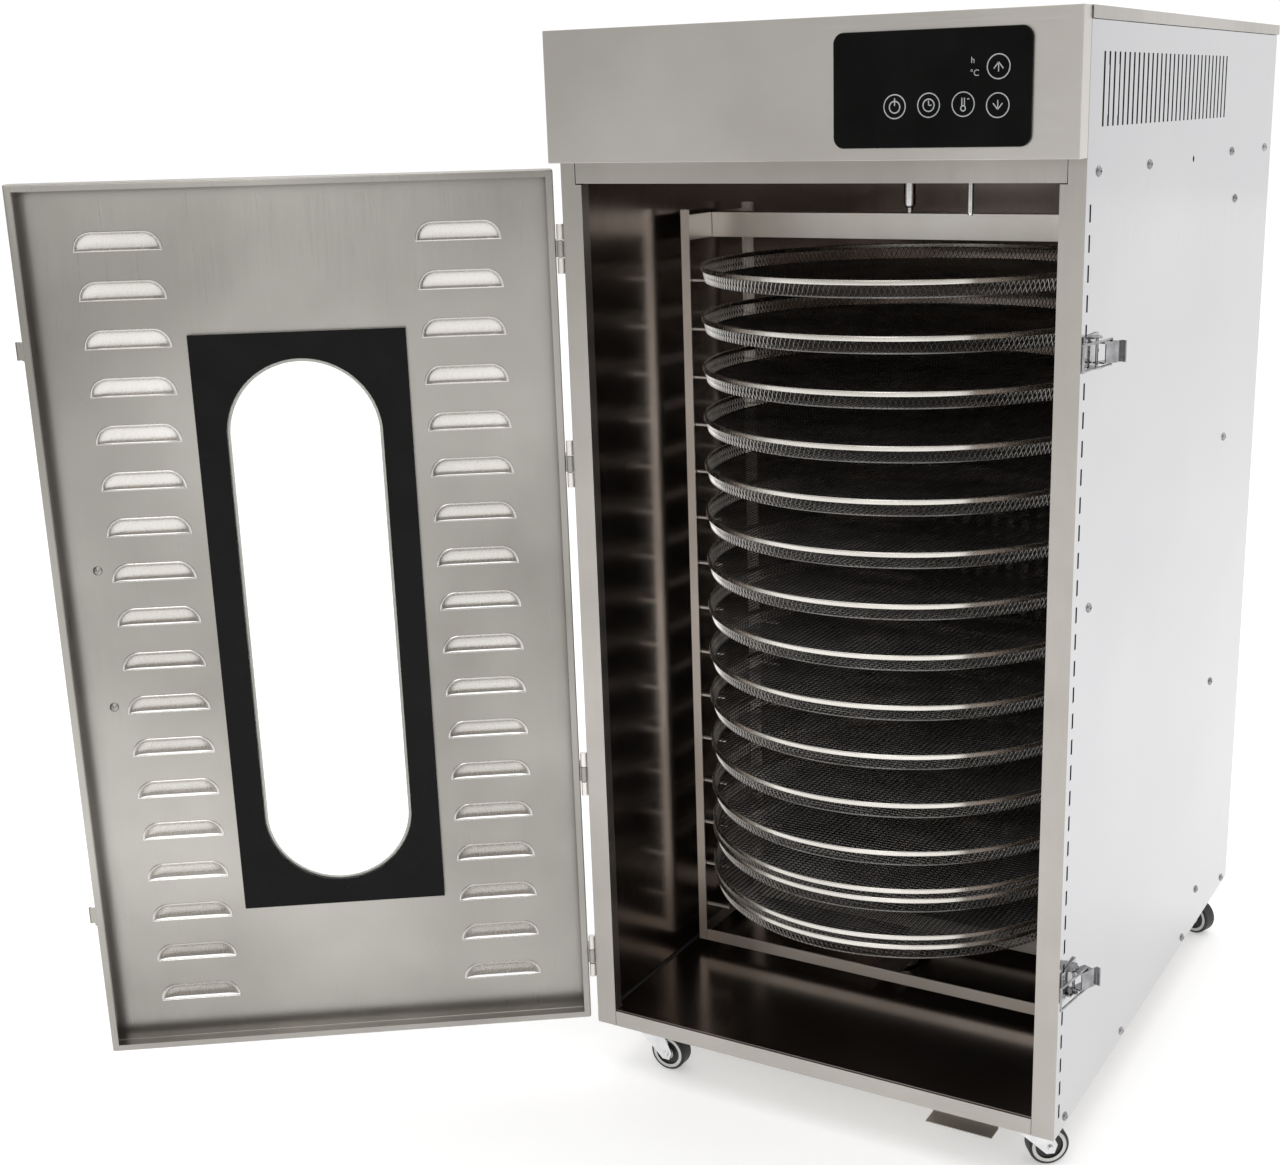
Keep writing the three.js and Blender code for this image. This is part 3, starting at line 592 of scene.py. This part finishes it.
# %% The rolled edge
bead = twin(cutter, "louvre_bead")
pick(bead, lambda c, n: not (n.y > 0.9), "FACE")
bpy.ops.mesh.delete(type="FACE")
bpy.ops.mesh.select_all(action="SELECT")
bpy.ops.mesh.dissolve_limited(angle_limit=math.radians(1))
bpy.ops.mesh.select_all(action="SELECT")
bpy.ops.mesh.delete(type="ONLY_FACE")
done()
only(bead)
bpy.ops.object.convert(target="CURVE")
bead = bpy.context.object
bead.data.bevel_depth = 0.9 * MM
bead.data.bevel_resolution = 2
bpy.ops.object.convert(target="MESH")
bead = bpy.context.object
bead.location.y = -2.5 * MM
settle(bead)
smooth(bead, 60)
print("bead faces", len(bead.data.polygons))

# %% [markdown]
# The louvre is now repeated with an Array, once for each column. The hoods and beads join the
# door's sheet; the cutters, joined into one, are taken out of it with a Boolean.

# %% Two columns of louvres and the window
SHEET_MIDDLE = DOOR_Y[0] + SHEET / 2
WINDOW_HALF_WIDE = 71.0
WINDOW_HALF_TALL = 266.0


def columns(piece, y, name):
    apply(piece, "ARRAY", count=LOUVRE_COUNT, use_relative_offset=False, use_constant_offset=True,
          constant_offset_displace=(0, 0, LOUVRE_PITCH * MM))
    here = (DOOR_MIDDLE[0], y, LOUVRE_LOW)
    left = twin(piece, name + "_left", (here[0] - LOUVRE_COLUMN, here[1], here[2]))
    right = twin(piece, name + "_right", (here[0] + LOUVRE_COLUMN, here[1], here[2]))
    bpy.data.objects.remove(piece)
    return left, right


def stadium(name, radius, half_height, depth, y):
    """An upright slot shape with round ends, centred on the window."""
    form = rod(name, radius, depth, (0, 0, 0), "y", 96)
    for sign in (1, -1):
        pick(form, lambda c: c.z * sign > 0.05)
        bpy.ops.transform.translate(value=(0, 0, sign * (half_height - radius) * MM))
        done()
    form.location = (DOOR_MIDDLE[0] * MM, y * MM, DOOR_MIDDLE[1] * MM)
    return settle(form)


hoods = columns(hood, DOOR_Y[0] + 0.9, "hoods")
beads = columns(bead, DOOR_Y[0] + SHEET, "beads")
for pressed in (*hoods, *beads):
    finish_with(pressed, pressed_steel)
holes = columns(cutter, SHEET_MIDDLE, "holes")
window_hole = stadium("window_hole", WINDOW_HALF_WIDE, WINDOW_HALF_TALL, 5.0, SHEET_MIDDLE)
cutters = together("door_cutters", *holes, window_hole)
apply(door, "BOOLEAN", operation="DIFFERENCE", object=cutters, solver="EXACT")
bpy.data.objects.remove(cutters)
print("door faces after cutting", len(door.data.polygons))

# %% [markdown]
# The rest of the door's metal is small: the hinge leaves and knuckles, the two latch hooks bent
# from strip on the free edge, and the two screws that hold the handle.

# %% Hinge knuckles, hooks and handle screws
HINGE_LEVELS = [BASE_Z + z for z in (806, 601, 280, 76)]
LATCH_LEVELS = [BASE_Z + z for z in (728, 155)]
KNUCKLE_R = 3.3
LEAF_HALF = 7.8
HOOK_HALF = 8.5
small_bits = []
for z in HINGE_LEVELS:
    leaf_z = (z - LEAF_HALF, z + LEAF_HALF)
    barrel = rod("door_knuckle", KNUCKLE_R, 2 * LEAF_HALF, (0, 0, z), "z", 24)
    small_bits.append(soften(barrel, 0.4, 2))
    small_bits.append(soften(slab("door_leaf", (2.2, 4.2), (-20, 0), leaf_z), 0.3, 2))
for z in LATCH_LEVELS:
    hook_z = (z - HOOK_HALF, z + HOOK_HALF)
    hook = slab("latch_hook", (499.9, 501.6), (-18.2, -2.2), hook_z)
    pick(hook, lambda c, n: n.x > 0.9, "FACE")
    bpy.ops.mesh.inset(thickness=0.0001)
    done()
    arm = slab("hook_arm", (501, 508), (-10.2, -8.6), hook_z)
    end = slab("hook_end", (506.4, 508), (-12.8, -8.6), hook_z)
    small_bits += [soften(hook, 0.35, 2), soften(arm, 0.3, 2), soften(end, 0.3, 2)]


def screw(name, radius, tall):
    """A pan-head screw with a cross recess, its head pointing along +Z."""
    bpy.ops.object.select_all(action="DESELECT")
    bpy.ops.mesh.primitive_uv_sphere_add(segments=20, ring_count=12, radius=MM)
    head = named(bpy.context.object, name)
    head.scale = (radius, radius, tall)
    settle(head)
    bpy.ops.object.mode_set(mode="EDIT")
    bpy.ops.mesh.select_all(action="SELECT")
    bpy.ops.mesh.bisect(plane_co=(0, 0, 0), plane_no=(0, 0, 1), clear_inner=True, use_fill=True)
    done()
    reach, thin, deep = (-radius * 0.55, radius * 0.55), (-0.45, 0.45), (tall * 0.45, tall * 2)
    arms = [slab("arm", reach, thin, deep), slab("arm", thin, reach, deep)]
    for arm_cutter in arms:
        apply(head, "BOOLEAN", operation="DIFFERENCE", object=arm_cutter, solver="EXACT")
        bpy.data.objects.remove(arm_cutter)
    return smooth(head, 40)


def face_along(piece, direction, name, place_vector):
    """A copy of a screw turned so that its head points along a direction."""
    only(piece)
    bpy.ops.object.duplicate(linked=False)
    made = bpy.context.object
    turned = Vector((0, 0, 1)).rotation_difference(Vector(direction)).to_matrix().to_4x4()
    made.matrix_world = Matrix.Translation(place_vector) @ turned
    return named(settle(made), name)


SCREW_R, SCREW_TALL = 4.6, 2.4
HANDLE_X, HANDLE_HALF = 462, 70
pan_screw = screw("pan_screw", SCREW_R, SCREW_TALL)
for z in (DOOR_MIDDLE[1] - HANDLE_HALF, DOOR_MIDDLE[1] + HANDLE_HALF):
    seat = Vector((HANDLE_X, DOOR_Y[0] + SHEET, z)) * MM
    small_bits.append(face_along(pan_screw, (0, 1, 0), "handle_screw", seat))
for piece in (door, *small_bits):
    finish_with(piece, door_steel)
door = together("door_sheet", door, *hoods, *beads, *small_bits)
smooth(door, 35)
hang(door)
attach(door, "door")
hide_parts("door_pan")
print("door faces", len(door.data.polygons))

# %% [markdown]
# ## The window
# The window is one pane behind the sheet, printed black round a clear middle. The clear pane and
# the black print are two pieces, so that each has its own finish and the pane stays see-through.

# %% Pane, print and handle
GLASS_X, GLASS_Y, GLASS_Z = (150, 354), (-22.6, -18.8), (205, 794)
PANE_IN = 0.2                       # the pane is this much smaller than the print, all round
PRINT_WIDER = 3.0                   # the print stops this far outside the hole in the sheet
pane_x, pane_z = ((low + PANE_IN, high - PANE_IN) for low, high in (GLASS_X, GLASS_Z))
pane = soften(slab("window_pane", pane_x, GLASS_Y, pane_z), 0.4, 2)
smooth(finish_with(pane, clear_glass))
print_plate = slab("window_print", GLASS_X, (GLASS_Y[1] + 0.02, GLASS_Y[1] + 0.3), GLASS_Z)
hole = stadium("print_hole", WINDOW_HALF_WIDE + PRINT_WIDER, WINDOW_HALF_TALL + PRINT_WIDER,
               3.0, GLASS_Y[1])
apply(print_plate, "BOOLEAN", operation="DIFFERENCE", object=hole, solver="EXACT")
bpy.data.objects.remove(hole)
finish_with(print_plate, printed_glass)
for piece in (pane, print_plate):
    hang(piece)
    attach(piece, "door")
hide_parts("door_glass")
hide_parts("door_glass")
dress("door_handle", bright_plate, 0.4, 2, 60)
print("window", [round(v, 3) for v in print_plate.dimensions])

# %% [markdown]
# ## Latches
# The toggle latches are small bright pressings, already the right shape, so they are dressed as
# they are, with a soft bevel, and each base gets three rivets: two beside the hinge and one at the
# far end, where the shut lever leaves room for it.

# %% Latches and rivets
RIVET_R, RIVET_TALL = 2.6, 1.3
RIVET_PLACES = ((8.5, 10), (8.5, -10), (38.5, 0))   # depth behind the front, height off the middle
BASE_FACE = 251.8
rivet = screw("rivet", RIVET_R, RIVET_TALL)
for place_name, z in zip(("upper", "lower"), LATCH_LEVELS):
    dress(f"latch_base_{place_name}", latch_plate, 0.3, 2, 50)
    dress(f"latch_lever_{place_name}", latch_plate, 0.25, 2, 50)
    dress(f"latch_bail_{place_name}", latch_plate, 0, 1, 75)
    rivets = [face_along(rivet, (1, 0, 0), "rivet", spot(BASE_FACE, y, z + dz))
              for y, dz in RIVET_PLACES]
    fixed = together(f"latch_rivets_{place_name}", *rivets)
    finish_with(fixed, latch_plate)
    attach(fixed, "cabinet")
bpy.data.objects.remove(rivet)
print("latches dressed")

# %% [markdown]
# ## Touch panel
# A black glass plate stands a little proud of the header. Its touch keys are thin printed rings
# with simple signs: power, clock, thermometer, and a step up and down. Each is a sliver of a
# solid just in front of the glass, so it keeps its shape in the exported model.

# %% Touch panel and its signs
dress("control_glass", printed_glass, 0.7, 3)
GLASS_FRONT = (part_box("control_glass")[0].y - FRONT_Y) / MM
SIGN_Y = GLASS_FRONT - 0.08
KEY_R = 9.4
KEYS = {"power": (94.4, 985.3), "clock": (124.1, 985.8), "warmth": (153.7, 986.0),
        "less": (182.8, 984.6), "more": (182.9, 1014.1)}
signs = []


def ring(x, z, radius, width=0.55):
    bpy.ops.object.select_all(action="DESELECT")
    bpy.ops.mesh.primitive_torus_add(major_segments=40, minor_segments=6, rotation=TURN["y"],
                                     major_radius=radius * MM, minor_radius=width * MM)
    made = settle(bpy.context.object)
    made.scale.y = 0.15
    settle(made)
    made.location = spot(x, SIGN_Y, z)
    return settle(made)


def stroke(x0, z0, x1, z1, width=0.9):
    """A printed line between two places on the glass."""
    length = math.hypot(x1 - x0, z1 - z0)
    made = slab("stroke", (-length / 2, length / 2), (-0.07, 0.07), (-width / 2, width / 2))
    made.rotation_euler.y = -math.atan2(z1 - z0, x1 - x0)
    made.location = spot((x0 + x1) / 2, SIGN_Y, (z0 + z1) / 2)
    return settle(made)


for key, (x, z) in KEYS.items():
    signs.append(ring(x, z, KEY_R, 0.45))
    if key == "power":
        signs += [ring(x, z - 0.4, 4.6, 0.5), stroke(x, z + 0.5, x, z + 6.6)]
    if key == "clock":
        signs += [ring(x, z, 4.8, 0.5), stroke(x, z, x, z + 3.6), stroke(x, z, x + 2.6, z)]
    if key == "warmth":
        signs += [ring(x, z - 3.2, 2.0, 0.5), stroke(x - 1.1, z - 1.4, x - 1.1, z + 5),
                  stroke(x + 1.1, z - 1.4, x + 1.1, z + 5), stroke(x + 3.4, z + 4, x + 5.2, z + 4)]
    if key in ("more", "less"):
        way = 1 if key == "more" else -1
        signs += [stroke(x - 4, z - 1.6 * way, x, z + 3.2 * way),
                  stroke(x, z + 3.2 * way, x + 4, z - 1.6 * way),
                  stroke(x, z - 4 * way, x, z + 2.6 * way, 0.8)]
for words, x, z in (("h", 159.6, 1017.2), ("°C", 159.2, 1007.4)):
    bpy.ops.object.select_all(action="DESELECT")
    bpy.ops.object.text_add(rotation=(math.pi / 2, 0, 0))
    unit = bpy.context.object
    unit.data.body = words
    unit.data.size = 7 * MM
    unit.data.extrude = 0.05 * MM
    bpy.ops.object.convert(target="MESH")
    unit = bpy.context.object
    unit.location = spot(x, SIGN_Y, z)
    signs.append(settle(unit))
sign_piece = together("touch_signs", *signs)
finish_with(sign_piece, mark_ink)
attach(sign_piece, "cabinet")
print("touch signs", len(sign_piece.data.polygons))

# %% [markdown]
# ## Trays
# A tray is woven wire held in a flat steel band. The floor is a set of straight wires each way,
# trimmed to the round, and the wall under the band is two zigzag wires that cross into diamonds.
# One tray is modelled at the origin and copied to each level. A wire starts as bare edges, which
# turn into a curve with a round profile and then back into a mesh.

# %% Wires from bare edges
TRAY_R = 207.0
TRAY_TALL = 17.0
BAND = 5.2
WEAVE = 5.5
FLOOR_R = 200.6
DIAMONDS = 124
WALL_TOP_R, WALL_FOOT_R = 204.4, 201.9
FLOOR_WIRE_R, WALL_WIRE_R = 0.5, 0.55


def as_wire(piece, radius, name, caps=True):
    only(piece)
    bpy.ops.object.convert(target="CURVE")
    wire = bpy.context.object
    wire.data.bevel_depth = radius * MM
    wire.data.bevel_resolution = 0
    wire.data.use_fill_caps = caps
    bpy.ops.object.convert(target="MESH")
    return named(bpy.context.object, name)


def straight_wires(name, z):
    """Parallel edges across the tray, each trimmed to its chord, turned into wires."""
    bpy.ops.object.select_all(action="DESELECT")
    bpy.ops.mesh.primitive_plane_add(size=MM)
    line = named(bpy.context.object, name)
    bpy.ops.object.mode_set(mode="EDIT")
    bpy.ops.mesh.select_all(action="SELECT")
    bpy.ops.mesh.merge(type="CENTER")
    bpy.ops.mesh.extrude_vertices_move(TRANSFORM_OT_translate={"value": (2 * MM, 0, 0)})
    done()
    count = int(2 * FLOOR_R / WEAVE) - 1
    apply(line, "ARRAY", count=count, use_relative_offset=False, use_constant_offset=True,
          constant_offset_displace=(0, WEAVE * MM, 0))
    start = -(count - 1) / 2 * WEAVE
    for index, vertex in enumerate(line.data.vertices):
        y = start + (index // 2) * WEAVE
        reach = math.sqrt(max(FLOOR_R ** 2 - y ** 2, 1))
        vertex.co = Vector(((reach if index % 2 else -reach) * MM, y * MM, z * MM))
    return as_wire(line, FLOOR_WIRE_R, name)


def zigzag(name, phase):
    """A wire that runs round the tray, up to the band and down to the floor in turn."""
    bpy.ops.object.select_all(action="DESELECT")
    bpy.ops.mesh.primitive_circle_add(vertices=2 * DIAMONDS, radius=WALL_TOP_R * MM,
                                      location=(0, 0, (TRAY_TALL - BAND + 0.4) * MM))
    line = settle(named(bpy.context.object, name))
    low = {v.index for v in line.data.vertices if v.index % 2 == phase}
    only(line)
    for vertex in line.data.vertices:
        vertex.select = vertex.index in low
    for edge in line.data.edges:
        edge.select = False
    bpy.ops.object.mode_set(mode="EDIT")
    drawn_in = WALL_FOOT_R / WALL_TOP_R
    bpy.ops.transform.resize(value=(drawn_in, drawn_in, 1), center_override=(0, 0, 0))
    bpy.ops.transform.translate(value=(0, 0, -(TRAY_TALL - BAND - 0.6) * MM))
    done()
    return as_wire(line, WALL_WIRE_R, name, False)


across = straight_wires("wires_across", FLOOR_WIRE_R)
along = twin(across, "wires_along")
along.rotation_euler.z = math.pi / 2
along.location.z = FLOOR_WIRE_R * MM
settle(along)
# painted shade: the floor weave takes the dark copy of the wire steel
floor_weave = finish_with(together("floor_weave", across, along), floor_wire_painted_shade)
wall_weave = finish_with(together("wall_weave", zigzag("zig", 0), zigzag("zag", 1)), wire_steel)
weave = together("tray_weave", floor_weave, wall_weave)
smooth(weave, 30)
print("weave faces", len(weave.data.polygons))

# %% [markdown]
# The band is a hoop of flat strip. An open cylinder, thickened and bevelled, has the rounded rolled
# edges that show as two bright lines; a thin floor hoop carries the ends of the wires.

# %% Band, and a tray on every level
band = rod("tray_band", TRAY_R - 0.3, BAND, (0, 0, TRAY_TALL - BAND / 2), "z", 128, "NOTHING")
apply(band, "SOLIDIFY", thickness=2.6 * MM, offset=-1.0)
soften(band, 1.2, 4)
smooth(band, 60)
bpy.ops.object.select_all(action="DESELECT")
bpy.ops.mesh.primitive_torus_add(major_segments=128, minor_segments=6, major_radius=FLOOR_R * MM,
                                 minor_radius=0.8 * MM, location=(0, 0, 0.9 * MM))
hoop = smooth(settle(bpy.context.object), 60)
# painted shade: the floor hoop takes the same dark copy of the wire steel
finish_with(hoop, floor_wire_painted_shade)
rims = together("tray_rim", finish_with(band, rim_steel), hoop)
whole_tray = together("tray_pattern", weave, rims)
TRAYS = 16
for number in range(1, TRAYS + 1):
    node = f"tray_{number:02d}"
    low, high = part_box(node)
    centre = (low + high) / 2
    made = twin(whole_tray, node + "_woven", (centre.x / MM, centre.y / MM, low.z / MM))
    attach(made, node)
    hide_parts(node)
bpy.data.objects.remove(whole_tray)
print("trays placed:", TRAYS)

# %% [markdown]
# ## Casters
# A caster wheel is a rubber tyre round a pale ring and a dark hub. One drum is shaped by insets on
# its two sides: a groove, the ring, a dished web and the boss. Faces then take their finish by
# how far they are from the axle.

# %% One wheel, four casters
WHEEL_R, WHEEL_WIDE = 20.0, 18.0
TYRE_IN, RING_IN, BOSS_R = 17.15, 13.6, 7.2
wheel = rod("wheel_pattern", WHEEL_R, WHEEL_WIDE, (0, 0, 0), "y", 48)
soften(wheel, 2.6, 4)
for thickness, depth in ((0.3, -0.5), (3.4, 0.0), (0.3, -2.2), (6.0, 0.0), (0.3, 2.6)):
    pick(wheel, lambda c, n: abs(n.y) > 0.99 and math.hypot(c.x, c.z) < 0.5, "FACE")
    bpy.ops.mesh.inset(thickness=thickness * MM, depth=depth * MM)
    done()
wheel.data.materials.append(tyre_rubber)
wheel.data.materials.append(hub_grey)
wheel.data.materials.append(black_plastic)
for face in wheel.data.polygons:
    radius = math.hypot(face.center.x, face.center.z) / MM
    pale = radius > RING_IN or radius < BOSS_R
    face.material_index = 0 if radius > TYRE_IN else 1 if pale else 2
smooth(wheel, 35)
TRAILS = {"front_left": 0, "front_right": 37, "rear_left": 160, "rear_right": -20}
for corner, trail in TRAILS.items():
    node = f"caster_wheel_{corner}"
    low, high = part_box(node)
    only(wheel)
    bpy.ops.object.duplicate(linked=False)
    made = named(bpy.context.object, node + "_tyred")
    trailed = Matrix.Rotation(math.radians(trail), 4, "Z")
    made.matrix_world = Matrix.Translation((low + high) / 2) @ trailed
    settle(made)
    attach(made, f"wheel_{corner}")
    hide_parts(node)
    dress(f"caster_fork_{corner}", bright_plate, 0.3, 2, 50)
bpy.data.objects.remove(wheel)
print("casters placed:", len(TRAILS))

# %% [markdown]
# ## Screws
# The sheets are held by pan-head screws. One head was made for the handle; the rest are copies at
# the places where the real sheets are fixed, with the same rows repeated on the far side.

# %% Screws on the cabinet
SIDE_SCREWS = [(31.3, 873.2), (179.7, 872.9), (480.4, 873.9), (629.1, 873.1), (505, 825.8),
               (515, 573.8), (516.8, 295), (47.5, 502.6), (31.8, 9.1), (213.5, 8), (450.9, 8),
               (504.8, 45.5), (632.5, 8)]
BACK_SCREWS = [(x, z) for x in (-232, 0, 232) for z in (12, 985)] + [
    (x, z) for x in (-232, 232) for z in (250, 500, 750)]
heads = [face_along(pan_screw, (sign, 0, 0), "side_screw", spot(sign * HALF_WIDTH, y, BASE_Z + z))
         for sign in (-1, 1) for y, z in SIDE_SCREWS]
heads += [face_along(pan_screw, (0, 1, 0), "back_screw", spot(x, DEPTH, BASE_Z + z))
          for x, z in BACK_SCREWS]
screws = together("cabinet_screws", *heads)
finish_with(screws, latch_plate)
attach(screws, "cabinet")
bpy.data.objects.remove(pan_screw)
print("screws:", len(heads))

# %% [markdown]
# ## Floor and light
# A pale floor and a bright even surround keep the view plain. Polished steel only looks like
# steel when it has something to reflect, so the surround is white behind the machine and dimmer in
# front of it. One broad soft light hangs overhead, and a small one near the camera reaches into the
# chamber, as a lamp on a camera would.

# %% Floor, surround and lights
bpy.ops.object.select_all(action="DESELECT")
bpy.ops.mesh.primitive_plane_add(size=24, location=(0, 4, 0))
floor = named(settle(bpy.context.object), "studio_floor")
pale, pale_nodes, pale_links, pale_shader = new_material("pale_floor")
pale_coords = pale_nodes.new("ShaderNodeTexCoord").outputs["Object"]
pale_tint = noise(pale_nodes, pale_links, pale_coords, 0.8)
pale_colour = ramp(pale_nodes, pale_links, pale_tint, [(0.3, 0.90), (0.7, 0.93)])
pale_links.new(pale_colour, pale_shader.inputs["Base Color"])
pale_shader.inputs["Roughness"].default_value = 0.9
pale_shader.inputs["Emission Color"].default_value = (1, 1, 1, 1)
pale_shader.inputs["Emission Strength"].default_value = 0.34
finish_with(floor, pale)

surround = bpy.data.worlds.new("surround")
bpy.context.scene.world = surround
surround.use_nodes = True
sky_nodes, sky_links = surround.node_tree.nodes, surround.node_tree.links
sky_way = sky_nodes.new("ShaderNodeTexCoord").outputs["Generated"]
parts = sky_nodes.new("ShaderNodeSeparateXYZ")
sky_links.new(sky_way, parts.inputs["Vector"])
depth_way = sky_nodes.new("ShaderNodeMapRange")
depth_way.inputs["From Min"].default_value = -1
depth_way.inputs["From Max"].default_value = 0.2
sky_links.new(parts.outputs["Y"], depth_way.inputs["Value"])
sky_colour = ramp(sky_nodes, sky_links, depth_way.outputs["Result"],
                  [(0.0, (0.36, 0.35, 0.335)), (1.0, (1.0, 1.0, 1.0))])
background = sky_nodes["Background"]
sky_links.new(sky_colour, background.inputs["Color"])
background.inputs["Strength"].default_value = 1.05


def soft_light(name, size, place_vector, target, power):
    data = bpy.data.lights.new(name, "AREA")
    data.shape = "RECTANGLE"
    data.size, data.size_y = size
    data.energy = power
    light = bpy.data.objects.new(name, data)
    bpy.context.scene.collection.objects.link(light)
    light.location = place_vector
    light.rotation_euler = (target - place_vector).to_track_quat("-Z", "Y").to_euler()
    return light


middle = spot(0, 300, 550)
soft_light("overhead", (3.0, 3.0), Vector((0.2, -0.4, 3.2)), middle, 28)
soft_light("front_fill", (0.8, 0.8), Vector((0.5, -2.2, 1.5)), spot(0, 236, 600), 6)
bpy.context.scene.view_settings.view_transform = "Standard"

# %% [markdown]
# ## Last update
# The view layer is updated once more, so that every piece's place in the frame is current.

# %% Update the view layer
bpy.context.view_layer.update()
